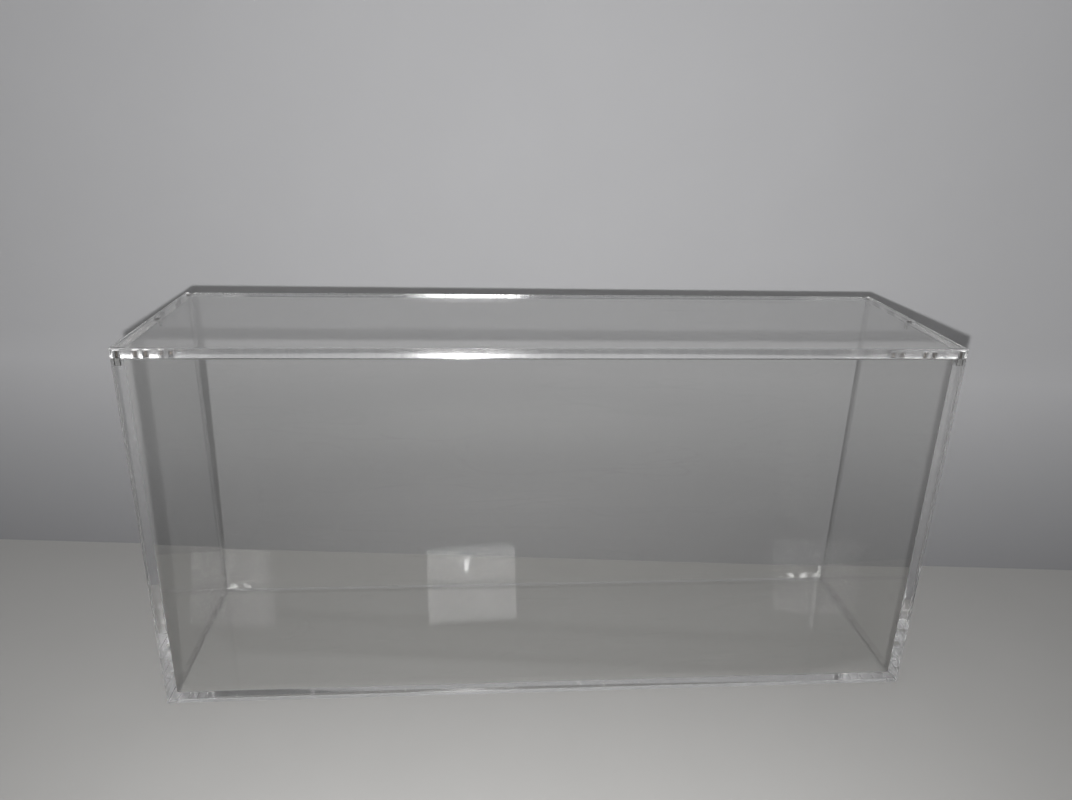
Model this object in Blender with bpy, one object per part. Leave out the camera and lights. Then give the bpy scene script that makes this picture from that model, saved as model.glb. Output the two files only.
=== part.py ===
"""Clear acrylic display case with a lid that lifts off and is held by small magnets.

The case stands on the plane z = 0 with its centre on the z axis. Its length lies along x and its front faces -y.
The front and back walls are as long as the case, the side walls stand between them, and the base lies inside
all four. The lid covers the top ends of the walls. One half of each magnet pair sits in the lid and the other
in a wall.
"""

import math

import bmesh
import bpy

# Outer size of the case, in metres
CASE_LENGTH = 0.410
CASE_DEPTH = 0.109
WALL_HEIGHT = 0.196

# Sheet
WALL_THICKNESS = 0.005
BASE_THICKNESS = 0.005
LID_THICKNESS = 0.005
SHEET_CHAMFER = 0.0003

# Seams between sheets: the cemented ones, and the dry one that the lid opens
CEMENT_SEAM = 0.0003
LID_SEAM = 0.0003

# Magnets, and the blind holes that hold them
MAGNET_DIAMETER = 0.003
MAGNET_HEIGHT = 0.003
MAGNET_CHAMFER = 0.0002
MAGNET_CLEARANCE = 0.0003
MAGNET_RECESS = 0.0003
CUT_OVERRUN = 0.001

ROUND_SEGMENTS = 28
SHARP_ANGLE = math.radians(40)

# Index of refraction of cast acrylic
ACRYLIC_IOR = 1.49


def clear_scene():
    for item in list(bpy.data.objects):
        bpy.data.objects.remove(item)


def acrylic(name):
    """Polished clear cast acrylic, with the faint grey of a thick sheet."""
    material = bpy.data.materials.new(name)
    material.use_nodes = True
    shader = material.node_tree.nodes["Principled BSDF"]
    shader.inputs["Base Color"].default_value = (0.93, 0.95, 0.95, 1)
    shader.inputs["Metallic"].default_value = 0
    shader.inputs["Roughness"].default_value = 0.03
    shader.inputs["IOR"].default_value = ACRYLIC_IOR
    shader.inputs["Transmission Weight"].default_value = 1
    return material


def nickel(name):
    """Bright nickel plating on a magnet."""
    material = bpy.data.materials.new(name)
    material.use_nodes = True
    shader = material.node_tree.nodes["Principled BSDF"]
    shader.inputs["Base Color"].default_value = (0.47, 0.45, 0.42, 1)
    shader.inputs["Metallic"].default_value = 1
    shader.inputs["Roughness"].default_value = 0.22
    return material


def add_object(name, shape, location, parent):
    mesh = bpy.data.meshes.new(name)
    shape.to_mesh(mesh)
    shape.free()
    item = bpy.data.objects.new(name, mesh)
    item.location = location
    item.parent = parent
    bpy.context.collection.objects.link(item)
    return item


def add_frame(name, height):
    """An empty on the z axis that carries one rigid group of pieces."""
    frame = bpy.data.objects.new(name, None)
    frame.location = (0, 0, height)
    bpy.context.collection.objects.link(frame)
    return frame


def add_sheet(name, size, location, parent):
    """A flat sheet with lightly eased edges, centred on its own origin."""
    shape = bmesh.new()
    bmesh.ops.create_cube(shape, size=1)
    bmesh.ops.scale(shape, vec=size, verts=shape.verts)
    bmesh.ops.bevel(shape, geom=shape.edges, offset=SHEET_CHAMFER, segments=1, affect="EDGES")
    item = add_object(name, shape, location, parent)
    item.data.materials.append(acrylic(name + "_acrylic"))
    return item


def add_cylinder(shape, diameter, bottom, top, place=(0, 0)):
    """A closed upright cylinder between two heights."""
    made = bmesh.ops.create_cone(
        shape,
        cap_ends=True,
        segments=ROUND_SEGMENTS,
        radius1=diameter / 2,
        radius2=diameter / 2,
        depth=top - bottom,
    )
    bmesh.ops.translate(shape, vec=(place[0], place[1], (bottom + top) / 2), verts=made["verts"])


def add_magnet(name, place, bottom, parent):
    shape = bmesh.new()
    add_cylinder(shape, MAGNET_DIAMETER, -MAGNET_HEIGHT / 2, MAGNET_HEIGHT / 2)
    rims = [edge for edge in shape.edges if edge.verts[0].co.z == edge.verts[1].co.z]
    bmesh.ops.bevel(shape, geom=rims, offset=MAGNET_CHAMFER, segments=1, affect="EDGES")
    item = add_object(name, shape, (place[0], place[1], bottom + MAGNET_HEIGHT / 2), parent)
    item.data.shade_smooth()
    item.data.set_sharp_from_angle(angle=SHARP_ANGLE)
    item.data.materials.append(nickel(name + "_nickel"))
    return item


def drill(sheet, places, mouth, inward):
    """Cuts blind magnet holes into a sheet. They start at the height of their mouth, and inward is 1 or -1."""
    depth = MAGNET_RECESS + MAGNET_HEIGHT + MAGNET_CLEARANCE
    ends = sorted((mouth - inward * CUT_OVERRUN, mouth + inward * depth))
    shape = bmesh.new()
    for place in places:
        centre = (place[0] - sheet.location.x, place[1] - sheet.location.y)
        add_cylinder(shape, MAGNET_DIAMETER + 2 * MAGNET_CLEARANCE, ends[0], ends[1], centre)
    cutter = add_object(sheet.name + "_hole_cutter", shape, (0, 0, 0), sheet)
    cutter.hide_render = True
    cutter.display_type = "WIRE"
    holes = sheet.modifiers.new("Magnet holes", "BOOLEAN")
    holes.operation = "DIFFERENCE"
    holes.solver = "EXACT"
    holes.object = cutter


def magnet_places():
    """The six places in plan: centred in the wall sheets, at the corners and halfway along each side wall."""
    x = (CASE_LENGTH - WALL_THICKNESS) / 2
    y = (CASE_DEPTH - WALL_THICKNESS) / 2
    return {
        "front_left": (-x, -y),
        "front_right": (x, -y),
        "middle_left": (-x, 0),
        "middle_right": (x, 0),
        "back_left": (-x, y),
        "back_right": (x, y),
    }


def build_case(places):
    """The five cemented sheets, with the lower magnets in the top ends of the walls."""
    frame = add_frame("case_frame", 0)
    side_length = CASE_DEPTH - 2 * (WALL_THICKNESS + CEMENT_SEAM)
    base_length = CASE_LENGTH - 2 * (WALL_THICKNESS + CEMENT_SEAM)
    long_size = (CASE_LENGTH, WALL_THICKNESS, WALL_HEIGHT)
    side_size = (WALL_THICKNESS, side_length, WALL_HEIGHT)
    middle = WALL_HEIGHT / 2
    wall_x = (CASE_LENGTH - WALL_THICKNESS) / 2
    wall_y = (CASE_DEPTH - WALL_THICKNESS) / 2
    walls = {
        "front_wall": (long_size, (0, -wall_y, middle), ("front_left", "front_right")),
        "back_wall": (long_size, (0, wall_y, middle), ("back_left", "back_right")),
        "left_wall": (side_size, (-wall_x, 0, middle), ("middle_left",)),
        "right_wall": (side_size, (wall_x, 0, middle), ("middle_right",)),
    }
    for name, (size, location, held) in walls.items():
        wall = add_sheet(name, size, location, frame)
        drill(wall, [places[key] for key in held], WALL_HEIGHT - middle, -1)
    add_sheet("base_panel", (base_length, side_length, BASE_THICKNESS), (0, 0, BASE_THICKNESS / 2), frame)
    for key, place in places.items():
        add_magnet("case_magnet_" + key, place, WALL_HEIGHT - MAGNET_RECESS - MAGNET_HEIGHT, frame)


def build_lid(places):
    """The lid sheet, with the upper magnets in its underside. Its frame lies on the axis that it lifts along."""
    frame = add_frame("lid_frame", WALL_HEIGHT + LID_SEAM)
    middle = LID_THICKNESS / 2
    lid = add_sheet("lid_panel", (CASE_LENGTH, CASE_DEPTH, LID_THICKNESS), (0, 0, middle), frame)
    drill(lid, places.values(), -middle, 1)
    for key, place in places.items():
        add_magnet("lid_magnet_" + key, place, MAGNET_RECESS, frame)


def main():
    clear_scene()
    places = magnet_places()
    build_case(places)
    build_lid(places)


main()
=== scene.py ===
"""Finishes, studio and camera for a clear acrylic display case with a lift-off lid held by small magnets.

Each sheet is rebuilt with rounded arrises, drilled holes and its own finish on faces, cut ends and joints.
Lengths are in metres and angles in radians unless a name says otherwise.
"""

import math

import bmesh
import bpy
from mathutils import Matrix, Vector


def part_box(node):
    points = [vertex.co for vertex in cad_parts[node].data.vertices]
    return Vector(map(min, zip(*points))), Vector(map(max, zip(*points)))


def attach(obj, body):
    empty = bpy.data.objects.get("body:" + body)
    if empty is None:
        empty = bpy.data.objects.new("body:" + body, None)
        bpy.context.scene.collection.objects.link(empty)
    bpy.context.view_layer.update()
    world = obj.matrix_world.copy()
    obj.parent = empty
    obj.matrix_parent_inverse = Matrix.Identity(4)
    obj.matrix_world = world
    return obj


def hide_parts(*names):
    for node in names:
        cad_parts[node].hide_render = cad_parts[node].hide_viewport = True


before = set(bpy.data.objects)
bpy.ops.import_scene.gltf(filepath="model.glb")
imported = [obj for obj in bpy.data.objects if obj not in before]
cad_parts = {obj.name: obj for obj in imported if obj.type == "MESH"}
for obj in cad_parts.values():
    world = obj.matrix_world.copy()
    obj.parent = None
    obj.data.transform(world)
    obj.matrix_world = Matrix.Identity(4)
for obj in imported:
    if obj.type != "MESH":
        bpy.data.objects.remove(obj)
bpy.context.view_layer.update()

MM = 0.001
AXES = {"x": 0, "y": 1, "z": 2}

# Camera, solved from the corners of the case in the photograph
CAMERA_PLACE = Vector((-0.0385, -0.4276, 0.3167))
CAMERA_AZIMUTH = math.radians(4.58)
CAMERA_TILT = math.radians(20.70)
CAMERA_ROLL = math.radians(1.44)
CAMERA_NEAR_CLIP = 0.01
PHOTO_WIDTH_PX = 1072
FOCAL_LENGTH_PX = 825.1
SENSOR_WIDTH_MM = 36

# Sheets
ARRIS_RADIUS = 0.25 * MM
ARRIS_SEGMENTS = 3
WELD_HAIR = 0.02 * MM
ACRYLIC_IOR = 1.49

# Magnets and their holes
MAGNET_RIM = 0.3 * MM
RIM_SEGMENTS = 5
ROUND_STEPS = 48
MERGE_DISTANCE = 0.001 * MM
HOLE_CLEARANCE = 0.12 * MM
HOLE_DEPTH_SPARE = 0.25 * MM
CUT_OVERRUN = 1.0 * MM

# How far a face's normal has to lie along an axis to be square to it, or to look down
SQUARE_ON = 0.999
DOWNWARD = -0.5

# A face belongs to a hole when its middle is within this share of the hole's radius
HOLE_REACH_SHARE = 1.02

# Marks on the sheets' faces
RIPPLE_LENGTH = 70 * MM
RIPPLE_HEIGHT = 0.012 * MM
SMEAR_LENGTH = 45 * MM
SPECK_SPACING = 11 * MM
SCRATCH_SPACING = 14 * MM
WIPE_TURN = (0.35, 0.5, 0.25)
WIPE_SQUEEZE = (0.12, 1.0, 1.0)

# Marks on the sheets' ends, joints and holes
STRIATION_WIDTH = 0.4 * MM
STRIATION_SQUEEZE = 0.01
STRIATION_DEPTH = 0.012 * MM
SAWN_GRIT = 0.45 * MM
SAWN_GRIT_DEPTH = 0.006 * MM
DRY_PATCH_LENGTH = 9 * MM
BUBBLE_SPACING = 5 * MM
DRILL_PATTERN_LENGTH = 3.14 * MM
DRILL_RING_DEPTH = 0.02 * MM

# Marks on the magnets and the stage
TARNISH_PATCH = 1.2 * MM
NICKEL_GRAIN = 0.25 * MM
NICKEL_GRAIN_DEPTH = 0.006 * MM
MOTTLE_LENGTH = 60 * MM
STIPPLE_LENGTH = 1.5 * MM
STIPPLE_HEIGHT = 0.05 * MM

# How steeply a clear surface turns into a mirror towards a slant
SLANT_POWER = 5.0

# Lamps, with places measured from the camera
KEY_LAMP_OFFSET = Vector((-0.011, -0.020, -0.0135))
KEY_LAMP_TARGET = Vector((0, 0.185, 0.20))
KEY_LAMP_RADIUS = 0.003
KEY_LAMP_CONE = math.radians(136)
KEY_LAMP_FADE = 0.7
KEY_LAMP_WATTS = 9.4
GLINT_CARD_OFFSET = Vector((-0.004, -0.02, 0.012))
GLINT_CARD_TARGET = Vector((0, 0.05, 0.15))
GLINT_CARD_SIZE = (0.12, 0.10)
GLINT_CARD_WATTS = 1.15
GLINT_CARD_MIRRORINGS = 2
WORLD_LIGHT = 0.26

# A floor, and a paper sweep that lies on it behind the case and curves up into a backdrop
FLOOR_DROP = 0.2 * MM
FLOOR_RADIUS = 8.0
FLOOR_SEGMENTS = 96
SWEEP_FRONT = 0.091
SWEEP_BACK = 0.185
SWEEP_CURVE_HEIGHT = 0.136
SWEEP_TURN = math.radians(-5.0)
SWEEP_WIDTH = 14.0
SWEEP_TOP = 2.4
SWEEP_STEPS = 24
SWEEP_LIFT = 0.3 * MM
# How high the painted shade reaches up the backdrop from the floor
PAINTED_SHADE_HEIGHT = 0.11

# The grey that floor and backdrop fade into, away from the lit middle
LIT_MIDDLE = Vector((0, 0.20, 0.15))
LIT_REACH = 0.45
HAZE_REACH = 0.7
HAZE_GREY = "#98999a"

# Places read from the frame
front_lo, front_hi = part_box("front_wall")
back_lo, back_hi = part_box("back_wall")
left_lo, left_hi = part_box("left_wall")
right_lo, right_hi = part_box("right_wall")
base_lo, base_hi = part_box("base_panel")
lid_lo, lid_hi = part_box("lid_panel")
wall_top = front_hi.z
lid_bottom = lid_lo.z
base_top = base_hi.z
inner_left = left_hi.x
inner_right = right_lo.x

magnet_keys = ("front_left", "front_right", "middle_left", "middle_right", "back_left", "back_right")
case_magnets = {key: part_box("case_magnet_" + key) for key in magnet_keys}
lid_magnets = {key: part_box("lid_magnet_" + key) for key in magnet_keys}
first_lo, first_hi = case_magnets["front_left"]
magnet_radius = (first_hi.x - first_lo.x) / 2
magnet_height = first_hi.z - first_lo.z
hole_radius = magnet_radius + HOLE_CLEARANCE


# Colour and nodes


def linear(code):
    """An sRGB hex colour as linear red, green, blue and alpha."""
    parts = [int(code[i : i + 2], 16) / 255 for i in (1, 3, 5)]
    return (*(c / 12.92 if c <= 0.04045 else ((c + 0.055) / 1.055) ** 2.4 for c in parts), 1)


def add_node(tree, kind, inputs=None, **settings):
    """Adds one node, with its settings and with values or links for its inputs."""
    made = tree.nodes.new(kind)
    for key, value in settings.items():
        setattr(made, key, value)
    for key, value in (inputs or {}).items():
        if isinstance(value, bpy.types.NodeSocket):
            tree.links.new(value, made.inputs[key])
        else:
            made.inputs[key].default_value = value
    return made


def new_material(name):
    """A material with an empty node tree."""
    material = bpy.data.materials.new(name)
    material.use_nodes = True
    material.node_tree.nodes.clear()
    return material, material.node_tree


def finish_material(tree, surface):
    """Puts the last shader on the surface."""
    add_node(tree, "ShaderNodeOutputMaterial", {"Surface": surface})


def scale_for(length):
    """The scale that gives a pattern this length."""
    return 1 / length


def let_light_through(tree, shader, lamp_share, diffuse_share):
    """Lets lamps and diffuse light through a clear surface, less what it mirrors away at a slant."""
    facing = add_node(tree, "ShaderNodeLayerWeight", {"Blend": 0.5}).outputs["Facing"]
    steep = add_node(
        tree,
        "ShaderNodeMath",
        {0: facing, 1: SLANT_POWER},
        operation="POWER",
    ).outputs[0]
    path = add_node(tree, "ShaderNodeLightPath")
    mixed = shader
    for ray, share in (("Is Diffuse Ray", diffuse_share), ("Is Shadow Ray", lamp_share)):
        passed = add_node(
            tree,
            "ShaderNodeMapRange",
            {"Value": steep, "From Min": 0, "From Max": 1, "To Min": share, "To Max": 0.0},
        ).outputs[0]
        clear = add_node(tree, "ShaderNodeBsdfTransparent", {"Color": passed}).outputs[0]
        mixed = add_node(
            tree,
            "ShaderNodeMixShader",
            {0: path.outputs[ray], 1: mixed, 2: clear},
        ).outputs[0]
    return mixed


def looked_at(tree):
    """One for rays that show a surface to the camera, straight or by way of the sheets, or else zero."""
    path = add_node(tree, "ShaderNodeLightPath")
    seen = path.outputs["Is Camera Ray"]
    for ray in ("Is Glossy Ray", "Is Transmission Ray"):
        seen = add_node(
            tree,
            "ShaderNodeMath",
            {0: seen, 1: path.outputs[ray]},
            operation="MAXIMUM",
        ).outputs[0]
    return seen


# Finishes


def cast_acrylic_face(name):
    """Cell-cast acrylic, as polished as the glass it was cast against: a sharp mirror with a slow ripple.

    Wiping has left hairline scratches, fingers have left dull smears, and static holds specks of dust.
    """
    material, tree = new_material(name)
    place = add_node(tree, "ShaderNodeTexCoord").outputs["Object"]
    ripple = add_node(
        tree,
        "ShaderNodeTexNoise",
        {"Vector": place, "Scale": scale_for(RIPPLE_LENGTH), "Detail": 1.0},
    ).outputs["Fac"]
    ripple_bump = add_node(
        tree,
        "ShaderNodeBump",
        {"Height": ripple, "Strength": 1.0, "Distance": RIPPLE_HEIGHT},
    ).outputs[0]
    smear = add_node(
        tree,
        "ShaderNodeTexNoise",
        {
            "Vector": place,
            "Scale": scale_for(SMEAR_LENGTH),
            "Detail": 4.0,
            "Roughness": 0.6,
            "Distortion": 0.8,
        },
    ).outputs["Fac"]
    roughness = add_node(
        tree,
        "ShaderNodeMapRange",
        {"Value": smear, "From Min": 0.5, "From Max": 0.75, "To Min": 0.0, "To Max": 0.05},
    ).outputs[0]
    glass = add_node(
        tree,
        "ShaderNodeBsdfPrincipled",
        {
            "Base Color": linear("#fcfcfb"),
            "Roughness": roughness,
            "IOR": ACRYLIC_IOR,
            "Transmission Weight": 1.0,
            "Normal": ripple_bump,
        },
    ).outputs[0]
    specks = add_node(
        tree,
        "ShaderNodeTexVoronoi",
        {"Vector": place, "Scale": scale_for(SPECK_SPACING), "Randomness": 1.0},
    ).outputs["Distance"]
    speck = add_node(
        tree,
        "ShaderNodeMapRange",
        {"Value": specks, "From Min": 0.015, "From Max": 0.03, "To Min": 0.2, "To Max": 0.0},
    ).outputs[0]
    drawn = add_node(
        tree,
        "ShaderNodeMapping",
        {"Vector": place, "Rotation": WIPE_TURN, "Scale": WIPE_SQUEEZE},
    ).outputs[0]
    wander = add_node(
        tree,
        "ShaderNodeTexNoise",
        {"Vector": drawn, "Scale": scale_for(SCRATCH_SPACING), "Detail": 1.0, "Distortion": 0.4},
    ).outputs["Fac"]
    # A hairline runs wherever the wandering pattern passes its middle value
    off_line = add_node(tree, "ShaderNodeMath", {0: wander, 1: 0.5}, operation="SUBTRACT").outputs[0]
    off_line = add_node(tree, "ShaderNodeMath", {0: off_line}, operation="ABSOLUTE").outputs[0]
    hairline = add_node(
        tree,
        "ShaderNodeMapRange",
        {"Value": off_line, "From Min": 0.0, "From Max": 0.006, "To Min": 0.03, "To Max": 0.0},
    ).outputs[0]
    marks = add_node(tree, "ShaderNodeMath", {0: speck, 1: hairline}, operation="MAXIMUM").outputs[0]
    dust = add_node(
        tree,
        "ShaderNodeBsdfPrincipled",
        {"Base Color": linear("#b4b3b0"), "Roughness": 0.9, "Specular IOR Level": 0.2},
    ).outputs[0]
    dusty = add_node(tree, "ShaderNodeMixShader", {0: marks, 1: glass, 2: dust}).outputs[0]
    finish_material(tree, let_light_through(tree, dusty, lamp_share=0.905, diffuse_share=0.94))
    return material


def polished_cut_end(name, thin_axis):
    """A cut and polished end of a sheet: clear, with faint striations across it, left by the cutter.

    They spread the light that comes back along the sheet, so the ends glow near the corners, while lines
    that run along an end stay sharp. The real striations are finer, and are drawn this wide to show at all.
    """
    material, tree = new_material(name)
    place = add_node(tree, "ShaderNodeTexCoord").outputs["Object"]
    squeeze = [1.0, 1.0, 1.0]
    squeeze[thin_axis] = STRIATION_SQUEEZE
    drawn = add_node(tree, "ShaderNodeMapping", {"Vector": place, "Scale": squeeze}).outputs[0]
    streak = add_node(
        tree,
        "ShaderNodeTexNoise",
        {"Vector": drawn, "Scale": scale_for(STRIATION_WIDTH), "Detail": 2.0, "Roughness": 0.5},
    ).outputs["Fac"]
    bump = add_node(
        tree,
        "ShaderNodeBump",
        {"Height": streak, "Strength": 1.0, "Distance": STRIATION_DEPTH},
    ).outputs[0]
    roughness = add_node(
        tree,
        "ShaderNodeMapRange",
        {"Value": streak, "From Min": 0.4, "From Max": 0.6, "To Min": 0.02, "To Max": 0.14},
    ).outputs[0]
    glass = add_node(
        tree,
        "ShaderNodeBsdfPrincipled",
        {
            "Base Color": linear("#fdfdfc"),
            "Roughness": roughness,
            "IOR": ACRYLIC_IOR,
            "Transmission Weight": 1.0,
            "Normal": bump,
        },
    ).outputs[0]
    haze = add_node(
        tree,
        "ShaderNodeBsdfPrincipled",
        {"Base Color": linear("#f4f6f7"), "Roughness": 0.6, "IOR": ACRYLIC_IOR, "Normal": bump},
    ).outputs[0]
    share = add_node(
        tree,
        "ShaderNodeMapRange",
        {"Value": streak, "From Min": 0.4, "From Max": 0.8, "To Min": 0.0, "To Max": 0.06},
    ).outputs[0]
    hazy = add_node(tree, "ShaderNodeMixShader", {0: share, 1: glass, 2: haze}).outputs[0]
    finish_material(tree, let_light_through(tree, hazy, lamp_share=0.08, diffuse_share=0.9))
    return material


def sawn_end(name):
    """A fine-sawn end that was only scraped, not polished: satin, with a fine grit that sparkles."""
    material, tree = new_material(name)
    place = add_node(tree, "ShaderNodeTexCoord").outputs["Object"]
    grit = add_node(
        tree,
        "ShaderNodeTexNoise",
        {"Vector": place, "Scale": scale_for(SAWN_GRIT), "Detail": 3.0, "Roughness": 0.65},
    ).outputs["Fac"]
    bump = add_node(
        tree,
        "ShaderNodeBump",
        {"Height": grit, "Strength": 1.0, "Distance": SAWN_GRIT_DEPTH},
    ).outputs[0]
    glass = add_node(
        tree,
        "ShaderNodeBsdfPrincipled",
        {
            "Base Color": linear("#fbfbfa"),
            "Roughness": 0.1,
            "IOR": ACRYLIC_IOR,
            "Transmission Weight": 1.0,
            "Normal": bump,
        },
    ).outputs[0]
    white = add_node(
        tree,
        "ShaderNodeBsdfPrincipled",
        {"Base Color": linear("#f2f3f3"), "Roughness": 0.7, "IOR": ACRYLIC_IOR, "Normal": bump},
    ).outputs[0]
    share = add_node(
        tree,
        "ShaderNodeMapRange",
        {"Value": grit, "From Min": 0.35, "From Max": 0.65, "To Min": 0.1, "To Max": 0.4},
    ).outputs[0]
    satin = add_node(tree, "ShaderNodeMixShader", {0: share, 1: glass, 2: white}).outputs[0]
    finish_material(tree, let_light_through(tree, satin, lamp_share=0.7, diffuse_share=0.9))
    return material


def cemented_joint(name, lamp_share):
    """Solvent cement between two sheets: as clear as they are, with bubbles and dry patches in it."""
    material, tree = new_material(name)
    place = add_node(tree, "ShaderNodeTexCoord").outputs["Object"]
    patches = add_node(
        tree,
        "ShaderNodeTexNoise",
        {"Vector": place, "Scale": scale_for(DRY_PATCH_LENGTH), "Detail": 5.0, "Roughness": 0.7},
    ).outputs["Fac"]
    dry = add_node(
        tree,
        "ShaderNodeMapRange",
        {"Value": patches, "From Min": 0.62, "From Max": 0.75, "To Min": 0.0, "To Max": 0.15},
    ).outputs[0]
    cells = add_node(
        tree,
        "ShaderNodeTexVoronoi",
        {"Vector": place, "Scale": scale_for(BUBBLE_SPACING), "Randomness": 1.0},
    ).outputs["Distance"]
    bubble = add_node(
        tree,
        "ShaderNodeMapRange",
        {"Value": cells, "From Min": 0.03, "From Max": 0.05, "To Min": 0.15, "To Max": 0.0},
    ).outputs[0]
    share = add_node(tree, "ShaderNodeMath", {0: dry, 1: bubble}, operation="MAXIMUM").outputs[0]
    clear = add_node(tree, "ShaderNodeBsdfTransparent").outputs[0]
    white = add_node(
        tree,
        "ShaderNodeBsdfPrincipled",
        {"Base Color": linear("#eef0f0"), "Roughness": 0.5, "IOR": ACRYLIC_IOR},
    ).outputs[0]
    bubbly = add_node(tree, "ShaderNodeMixShader", {0: share, 1: clear, 2: white}).outputs[0]
    finish_material(tree, let_light_through(tree, bubbly, lamp_share, diffuse_share=0.98))
    return material


def drilled_wall(name):
    """The wall of a drilled hole: clear, with the rings that the bit left.

    The wave pattern repeats about every third of its length, which puts the rings 1 mm apart. The real ones
    are closer, and wouldn't show.
    """
    material, tree = new_material(name)
    place = add_node(tree, "ShaderNodeTexCoord").outputs["Object"]
    rings = add_node(
        tree,
        "ShaderNodeTexWave",
        {"Vector": place, "Scale": scale_for(DRILL_PATTERN_LENGTH), "Distortion": 0.6},
        wave_type="BANDS",
        bands_direction="Z",
    ).outputs["Fac"]
    bump = add_node(
        tree,
        "ShaderNodeBump",
        {"Height": rings, "Strength": 1.0, "Distance": DRILL_RING_DEPTH},
    ).outputs[0]
    glass = add_node(
        tree,
        "ShaderNodeBsdfPrincipled",
        {
            "Base Color": linear("#f8f8f7"),
            "Roughness": 0.12,
            "IOR": ACRYLIC_IOR,
            "Transmission Weight": 1.0,
            "Normal": bump,
        },
    ).outputs[0]
    finish_material(tree, let_light_through(tree, glass, lamp_share=0.5, diffuse_share=0.9))
    return material


def nickel_plating(name):
    """Nickel plate on a sintered magnet: warm grey metal, dulled by handling and darker where worn."""
    material, tree = new_material(name)
    place = add_node(tree, "ShaderNodeTexCoord").outputs["Object"]
    tarnish = add_node(
        tree,
        "ShaderNodeTexNoise",
        {"Vector": place, "Scale": scale_for(TARNISH_PATCH), "Detail": 5.0, "Roughness": 0.65},
    ).outputs["Fac"]
    colour = add_node(
        tree,
        "ShaderNodeMix",
        {"Factor": tarnish, "A": linear("#544a42"), "B": linear("#2b2521")},
        data_type="RGBA",
    ).outputs["Result"]
    roughness = add_node(
        tree,
        "ShaderNodeMapRange",
        {"Value": tarnish, "From Min": 0.3, "From Max": 0.7, "To Min": 0.28, "To Max": 0.5},
    ).outputs[0]
    grain = add_node(
        tree,
        "ShaderNodeTexNoise",
        {"Vector": place, "Scale": scale_for(NICKEL_GRAIN), "Detail": 2.0},
    ).outputs["Fac"]
    bump = add_node(
        tree,
        "ShaderNodeBump",
        {"Height": grain, "Strength": 1.0, "Distance": NICKEL_GRAIN_DEPTH},
    ).outputs[0]
    metal = add_node(
        tree,
        "ShaderNodeBsdfPrincipled",
        {"Base Color": colour, "Metallic": 1.0, "Roughness": roughness, "Normal": bump},
    ).outputs[0]
    finish_material(tree, metal)
    return material


# Stage


def matt_stage(name, colours, painted_shade_colour=None, one_sided=False):
    """Matt stage surface with a faint stipple.

    With a shade colour it darkens towards the floor: painted shade, for light that falls off at the foot.
    A one-sided one can't be seen from behind. Far from the case it shows as the grey of the air, though the
    light that falls on it and comes off it stays the same.
    """
    material, tree = new_material(name)
    place = add_node(tree, "ShaderNodeTexCoord").outputs["Object"]
    mottle = add_node(
        tree,
        "ShaderNodeTexNoise",
        {"Vector": place, "Scale": scale_for(MOTTLE_LENGTH), "Detail": 3.0},
    ).outputs["Fac"]
    stipple = add_node(
        tree,
        "ShaderNodeTexNoise",
        {"Vector": place, "Scale": scale_for(STIPPLE_LENGTH), "Detail": 2.0},
    ).outputs["Fac"]
    shade = add_node(
        tree,
        "ShaderNodeMix",
        {"Factor": mottle, "A": linear(colours[0]), "B": linear(colours[1])},
        data_type="RGBA",
    ).outputs["Result"]
    # Painted shade: the colour darkens towards the floor over the lowest stretch of the backdrop
    if painted_shade_colour:
        height = add_node(tree, "ShaderNodeSeparateXYZ", {"Vector": place}).outputs["Z"]
        low = add_node(
            tree,
            "ShaderNodeMapRange",
            {"Value": height, "From Min": 0.0, "From Max": PAINTED_SHADE_HEIGHT, "To Min": 1.0, "To Max": 0.0},
        ).outputs[0]
        shade = add_node(
            tree,
            "ShaderNodeMix",
            {"Factor": low, "A": shade, "B": linear(painted_shade_colour)},
            data_type="RGBA",
        ).outputs["Result"]
    bump = add_node(
        tree,
        "ShaderNodeBump",
        {"Height": stipple, "Strength": 0.4, "Distance": STIPPLE_HEIGHT},
    ).outputs[0]
    paint = add_node(
        tree,
        "ShaderNodeBsdfPrincipled",
        {"Base Color": shade, "Roughness": 0.75, "Specular IOR Level": 0.2, "Normal": bump},
    ).outputs[0]
    away = add_node(
        tree,
        "ShaderNodeVectorMath",
        {0: place, 1: LIT_MIDDLE},
        operation="DISTANCE",
    ).outputs["Value"]
    far = add_node(
        tree,
        "ShaderNodeMapRange",
        {"Value": away, "From Min": LIT_REACH, "From Max": HAZE_REACH, "To Min": 0.0, "To Max": 1.0},
        interpolation_type="SMOOTHSTEP",
    ).outputs[0]
    hidden = add_node(
        tree,
        "ShaderNodeMath",
        {0: far, 1: looked_at(tree)},
        operation="MULTIPLY",
    ).outputs[0]
    haze = add_node(tree, "ShaderNodeEmission", {"Color": linear(HAZE_GREY)}).outputs[0]
    paint = add_node(tree, "ShaderNodeMixShader", {0: hidden, 1: paint, 2: haze}).outputs[0]
    if one_sided:
        back = add_node(tree, "ShaderNodeNewGeometry").outputs["Backfacing"]
        clear = add_node(tree, "ShaderNodeBsdfTransparent").outputs[0]
        paint = add_node(tree, "ShaderNodeMixShader", {0: back, 1: paint, 2: clear}).outputs[0]
    finish_material(tree, paint)
    return material


def new_object(name, shape, materials):
    """Turns a bmesh into an object at the origin."""
    mesh = bpy.data.meshes.new(name)
    shape.to_mesh(mesh)
    shape.free()
    item = bpy.data.objects.new(name, mesh)
    for material in materials:
        mesh.materials.append(material)
    bpy.context.collection.objects.link(item)
    return item


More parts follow.
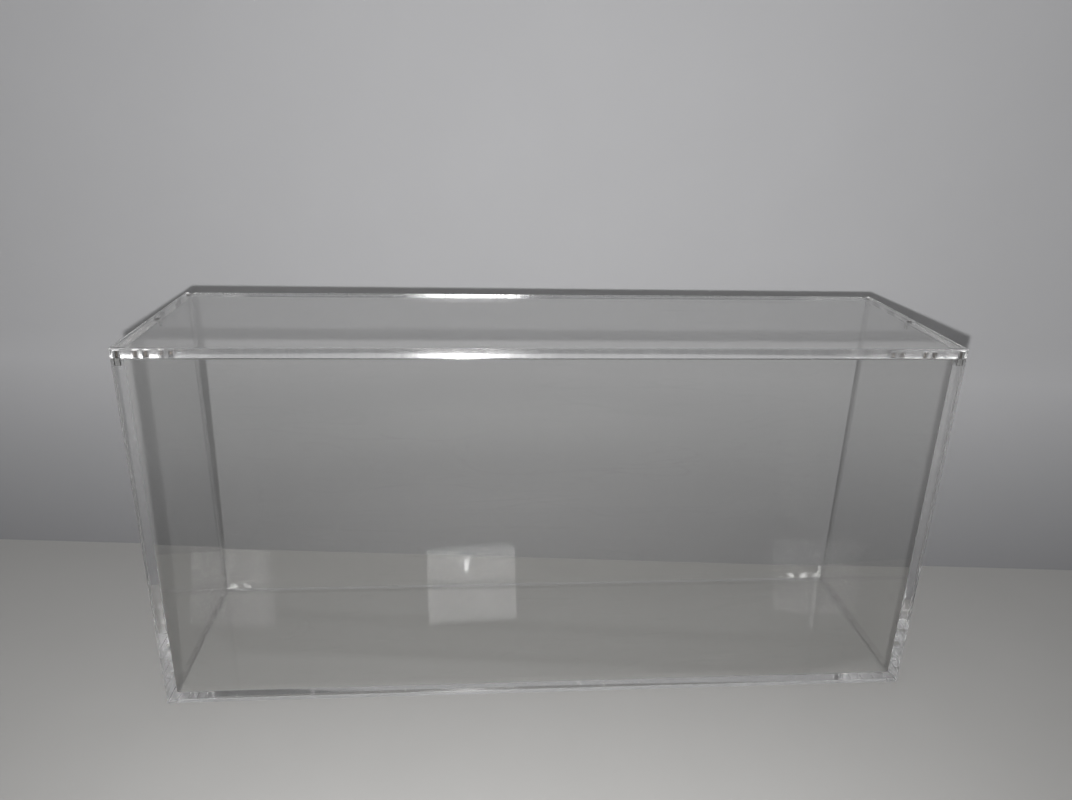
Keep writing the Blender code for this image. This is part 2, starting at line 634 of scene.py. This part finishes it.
def build_stage():
    """The painted floor and the paper sweep."""
    floor = bmesh.new()
    bmesh.ops.create_circle(floor, cap_ends=True, segments=FLOOR_SEGMENTS, radius=FLOOR_RADIUS)
    bmesh.ops.translate(floor, vec=(0, 0, -FLOOR_DROP), verts=floor.verts)
    paint = matt_stage("matt_floor_paint", ("#b4b3b1", "#b0afad"))
    new_object("studio_floor", floor, [paint])
    sweep = bmesh.new()
    depth = SWEEP_BACK - SWEEP_FRONT
    # A parabola that rises from the floor and meets the upright backdrop without a kink
    curve = []
    for step in range(SWEEP_STEPS + 1):
        risen = step / SWEEP_STEPS
        curve.append((depth * (1 - (1 - risen) ** 2), SWEEP_CURVE_HEIGHT * risen))
    curve.append((depth, SWEEP_TOP))
    sides = (-SWEEP_WIDTH / 2, SWEEP_WIDTH / 2)
    rows = [[sweep.verts.new((x, y, z + SWEEP_LIFT)) for x in sides] for y, z in curve]
    for low, high in zip(rows, rows[1:]):
        sweep.faces.new((low[0], low[1], high[1], high[0])).smooth = True
    turn = Matrix.Rotation(SWEEP_TURN, 4, "Z")
    sweep.transform(Matrix.Translation((0, SWEEP_FRONT, 0)) @ turn)
    # The backdrop paper carries a painted shade that darkens it towards the floor
    paper = matt_stage(
        "backdrop_paper_with_painted_shade",
        ("#c4c4c6", "#c0c0c2"),
        painted_shade_colour="#88888a",
        one_sided=True,
    )
    new_object("studio_backdrop", sweep, [paper])


def add_lamp(name, kind, offset, target, **settings):
    """A lamp near the camera, turned to a target and hidden from the camera's own rays."""
    data = bpy.data.lights.new(name, kind)
    for key, value in settings.items():
        setattr(data, key, value)
    lamp = bpy.data.objects.new(name, data)
    lamp.location = CAMERA_PLACE + offset
    lamp.rotation_euler = (target - lamp.location).to_track_quat("-Z", "Y").to_euler()
    lamp.visible_camera = False
    bpy.context.collection.objects.link(lamp)
    return lamp


def add_glint_card():
    """A card that puts glints into the sheets, and shows only once light has been mirrored a few times.

    It lights neither the floor nor the backdrop.
    """
    card = add_lamp(
        "glint_card",
        "AREA",
        GLINT_CARD_OFFSET,
        GLINT_CARD_TARGET,
        shape="RECTANGLE",
        size=GLINT_CARD_SIZE[0],
        size_y=GLINT_CARD_SIZE[1],
        energy=GLINT_CARD_WATTS,
    )
    card.visible_diffuse = False
    card.data.use_nodes = True
    tree = card.data.node_tree
    tree.nodes.clear()
    mirrored = add_node(tree, "ShaderNodeLightPath").outputs["Glossy Depth"]
    glint = add_node(
        tree,
        "ShaderNodeMath",
        {0: mirrored, 1: GLINT_CARD_MIRRORINGS - 0.5},
        operation="GREATER_THAN",
    ).outputs[0]
    glow = add_node(
        tree,
        "ShaderNodeEmission",
        {"Color": linear("#ffffff"), "Strength": glint},
    ).outputs[0]
    add_node(tree, "ShaderNodeOutputLight", {"Surface": glow})


def build_light():
    """The glint card, the key lamp that draws the shadows, and air that lights evenly and looks grey."""
    add_glint_card()
    add_lamp(
        "key_lamp",
        "SPOT",
        KEY_LAMP_OFFSET,
        KEY_LAMP_TARGET,
        shadow_soft_size=KEY_LAMP_RADIUS,
        spot_size=KEY_LAMP_CONE,
        spot_blend=KEY_LAMP_FADE,
        energy=KEY_LAMP_WATTS,
    )
    world = bpy.data.worlds.new("studio_air")
    bpy.context.scene.world = world
    world.use_nodes = True
    tree = world.node_tree
    tree.nodes.clear()
    lit = add_node(
        tree,
        "ShaderNodeBackground",
        {"Color": linear("#ffffff"), "Strength": WORLD_LIGHT},
    ).outputs[0]
    shown = add_node(
        tree,
        "ShaderNodeBackground",
        {"Color": linear(HAZE_GREY), "Strength": 1.0},
    ).outputs[0]
    mixed = add_node(tree, "ShaderNodeMixShader", {0: looked_at(tree), 1: lit, 2: shown}).outputs[0]
    add_node(tree, "ShaderNodeOutputWorld", {"Surface": mixed})


def build_camera():
    """A camera with the photograph's place, turn and lens."""
    data = bpy.data.cameras.new("photo_camera")
    data.sensor_width = SENSOR_WIDTH_MM
    data.lens = FOCAL_LENGTH_PX / PHOTO_WIDTH_PX * SENSOR_WIDTH_MM
    data.clip_start = CAMERA_NEAR_CLIP
    camera = bpy.data.objects.new("photo_camera", data)
    turn = Matrix.Rotation(-CAMERA_AZIMUTH, 3, "Z")
    tilt = Matrix.Rotation(math.radians(90) - CAMERA_TILT, 3, "X")
    roll = Matrix.Rotation(CAMERA_ROLL, 3, "Z")
    camera.matrix_world = Matrix.Translation(CAMERA_PLACE) @ (turn @ tilt @ roll).to_4x4()
    bpy.context.collection.objects.link(camera)
    bpy.context.scene.camera = camera


build_camera()
build_stage()
build_light()

face_finish = cast_acrylic_face("cast_acrylic_face")
end_finish = [polished_cut_end("polished_cut_end_across_" + axis, AXES[axis]) for axis in AXES]
sawn_finish = sawn_end("sawn_acrylic_end")
corner_joint_finish = cemented_joint("solvent_cemented_corner_joint", lamp_share=0.3)
base_joint_finish = cemented_joint("solvent_cemented_base_joint", lamp_share=0.97)
drilled_finish = drilled_wall("drilled_acrylic")
magnet_finish = nickel_plating("nickel_plated_magnet")


# Sheets

FACE, END, SAWN, CORNER_JOINT, BASE_JOINT, DRILLED = range(6)


def centre_of(box):
    """The middle of a box."""
    return (box[0] + box[1]) / 2


def sheet_shape(lo, hi, stays_sharp, cuts):
    """A sheet between two corners, with rounded arrises.

    The edges whose middle stays_sharp picks are left sharp. Each cut is an axis and the place on it where
    the faces are divided, so that a joint can have a finish of its own.
    """
    shape = bmesh.new()
    bmesh.ops.create_cube(shape, size=1)
    bmesh.ops.scale(shape, vec=hi - lo, verts=shape.verts)
    bmesh.ops.translate(shape, vec=(lo + hi) / 2, verts=shape.verts)
    rounded = [e for e in shape.edges if not stays_sharp((e.verts[0].co + e.verts[1].co) / 2)]
    bmesh.ops.bevel(
        shape,
        geom=rounded,
        offset=ARRIS_RADIUS,
        offset_type="OFFSET",
        segments=ARRIS_SEGMENTS,
        profile=0.5,
        affect="EDGES",
    )
    for axis, value in cuts:
        normal = Vector((0, 0, 0))
        normal[axis] = 1
        bmesh.ops.bisect_plane(
            shape,
            geom=shape.verts[:] + shape.edges[:] + shape.faces[:],
            plane_co=normal * value,
            plane_no=normal,
        )
    return shape


def drill_holes(sheet, centres, mouth, bottom):
    """Cuts the blind holes for the magnets, from their mouth to their bottom."""
    reach = 1 if bottom > mouth else -1
    start, end = sorted((mouth - reach * CUT_OVERRUN, bottom))
    bits = bmesh.new()
    for x, y in centres:
        made = bmesh.ops.create_cone(
            bits,
            cap_ends=True,
            segments=ROUND_STEPS,
            radius1=hole_radius,
            radius2=hole_radius,
            depth=end - start,
        )
        bmesh.ops.translate(bits, vec=(x, y, (start + end) / 2), verts=made["verts"])
    drill = new_object("drill_bits", bits, [])
    cut = sheet.modifiers.new("Drilled holes", "BOOLEAN")
    cut.operation = "DIFFERENCE"
    cut.solver = "EXACT"
    cut.object = drill
    graph = bpy.context.evaluated_depsgraph_get()
    drilled = bpy.data.meshes.new_from_object(sheet.evaluated_get(graph))
    sheet.modifiers.clear()
    sheet.data = drilled
    bpy.data.objects.remove(drill)


def lay_finishes(sheet, thin_axis, joint_of, sawn_foot, centres, mouth):
    """Gives each face of a sheet the finish of the place it lies on."""
    reach = hole_radius * HOLE_REACH_SHARE
    for face in sheet.data.polygons:
        middle, normal = face.center, face.normal
        flat = max(abs(c) for c in normal) > SQUARE_ON
        in_hole = any(math.hypot(middle.x - x, middle.y - y) < reach for x, y in centres)
        if in_hole and not (flat and abs(middle.z - mouth) < WELD_HAIR):
            face.material_index = DRILLED
        elif joint_of(middle, normal):
            face.material_index = joint_of(middle, normal)
        elif sawn_foot and normal.z < DOWNWARD and middle.z < ARRIS_RADIUS:
            face.material_index = SAWN
        elif flat and abs(normal[thin_axis]) > SQUARE_ON:
            face.material_index = FACE
        else:
            face.material_index = END
        face.use_smooth = not flat


def build_sheet(name, node, body, lo, hi, joint_of, stays_sharp, cuts=(), sawn_foot=True, held=()):
    """One sheet with its arrises, finishes and holes for the magnets it holds, in place of its CAD node."""
    size = hi - lo
    thin_axis = min(range(3), key=lambda axis: size[axis])
    finishes = [
        face_finish,
        end_finish[thin_axis],
        sawn_finish,
        corner_joint_finish,
        base_joint_finish,
        drilled_finish,
    ]
    sheet = new_object(name, sheet_shape(lo, hi, stays_sharp, cuts), finishes)
    centres = [tuple(centre_of(box).xy) for box in held]
    mouth = lid_bottom if body == "lid" else wall_top
    if held:
        magnet_lo, magnet_hi = held[0]
        bottom = magnet_hi.z + HOLE_DEPTH_SPARE if body == "lid" else magnet_lo.z - HOLE_DEPTH_SPARE
        drill_holes(sheet, centres, mouth, bottom)
    lay_finishes(sheet, thin_axis, joint_of, sawn_foot, centres, mouth)
    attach(sheet, body)
    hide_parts(node)


def long_wall_joint(middle, normal):
    """The inner face of the front or back wall, where the side walls and the base are cemented to it."""
    if normal.y * middle.y > -SQUARE_ON * abs(middle.y):
        return None
    if abs(middle.x) > inner_right:
        return CORNER_JOINT
    return BASE_JOINT if middle.z < base_top else None


def side_wall_joint(middle, normal):
    """The ends of a side wall, and the foot of its inner face."""
    if abs(normal.y) > SQUARE_ON:
        return CORNER_JOINT
    if normal.x * middle.x < -SQUARE_ON * abs(middle.x) and middle.z < base_top:
        return BASE_JOINT
    return None


def base_joint(middle, normal):
    """The four ends of the base."""
    return BASE_JOINT if max(abs(normal.x), abs(normal.y)) > SQUARE_ON else None


def no_joint(middle, normal):
    """The lid is cemented to nothing."""
    return None


def side_wall_corner(middle):
    """The upright inner edges of a side wall, which stay sharp in the cemented corners."""
    return abs(abs(middle.x) - inner_right) < WELD_HAIR and abs(middle.y) > front_hi.y - front_lo.y


def every_edge(middle):
    """The base is cemented all round, and keeps all its edges."""
    return True


def no_edge(middle):
    """Long walls and the lid have all their arrises rounded."""
    return False


for wall, lo, hi in (("front", front_lo, front_hi), ("back", back_lo, back_hi)):
    build_sheet(
        f"clear_{wall}_wall",
        f"{wall}_wall",
        "case",
        lo,
        hi,
        long_wall_joint,
        no_edge,
        cuts=((AXES["x"], inner_left), (AXES["x"], inner_right), (AXES["z"], base_top)),
        held=[case_magnets[wall + "_left"], case_magnets[wall + "_right"]],
    )

# The sheets between the long walls stop a hair short of them, so that no two faces fall together
inner_front = front_hi.y + WELD_HAIR
inner_back = back_lo.y - WELD_HAIR
for side, lo, hi in (("left", left_lo, left_hi), ("right", right_lo, right_hi)):
    build_sheet(
        f"clear_{side}_wall",
        f"{side}_wall",
        "case",
        Vector((lo.x, inner_front, lo.z)),
        Vector((hi.x, inner_back, hi.z)),
        side_wall_joint,
        side_wall_corner,
        cuts=((AXES["z"], base_top),),
        held=[case_magnets["middle_" + side]],
    )
build_sheet(
    "clear_base",
    "base_panel",
    "case",
    Vector((inner_left + WELD_HAIR, inner_front, base_lo.z)),
    Vector((inner_right - WELD_HAIR, inner_back, base_hi.z)),
    base_joint,
    every_edge,
    sawn_foot=False,
)
build_sheet(
    "clear_lid",
    "lid_panel",
    "lid",
    lid_lo,
    lid_hi,
    no_joint,
    no_edge,
    sawn_foot=False,
    held=list(lid_magnets.values()),
)


# Magnets


def magnet_shape(centre):
    """A turned disc magnet with rounded rims."""
    shape = bmesh.new()
    half = magnet_height / 2
    profile = [Vector((0, 0, half))]
    for step in range(RIM_SEGMENTS + 1):
        angle = math.radians(90) * (1 - step / RIM_SEGMENTS)
        out = magnet_radius - MAGNET_RIM + MAGNET_RIM * math.cos(angle)
        up = half - MAGNET_RIM + MAGNET_RIM * math.sin(angle)
        profile.append(Vector((out, 0, up)))
    profile += [Vector((p.x, 0, -p.z)) for p in reversed(profile)]
    verts = [shape.verts.new(p) for p in profile]
    edges = [shape.edges.new(pair) for pair in zip(verts, verts[1:])]
    bmesh.ops.spin(
        shape,
        geom=verts + edges,
        cent=(0, 0, 0),
        axis=(0, 0, 1),
        angle=math.radians(360),
        steps=ROUND_STEPS,
        use_merge=True,
        use_duplicate=False,
    )
    bmesh.ops.remove_doubles(shape, verts=shape.verts, dist=MERGE_DISTANCE)
    bmesh.ops.recalc_face_normals(shape, faces=shape.faces)
    bmesh.ops.translate(shape, vec=centre, verts=shape.verts)
    return shape


for body, magnets in (("case", case_magnets), ("lid", lid_magnets)):
    for key, box in magnets.items():
        magnet = new_object(f"{body}_disc_magnet_{key}", magnet_shape(centre_of(box)), [magnet_finish])
        magnet.data.shade_smooth()
        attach(magnet, body)
        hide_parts(f"{body}_magnet_{key}")

# Light bounces many times inside a sheet before it leaves at an end
scene = bpy.context.scene
scene.cycles.max_bounces = 28
scene.cycles.glossy_bounces = 24
scene.cycles.transmission_bounces = 24
scene.cycles.transparent_max_bounces = 64
scene.view_settings.view_transform = "Standard"
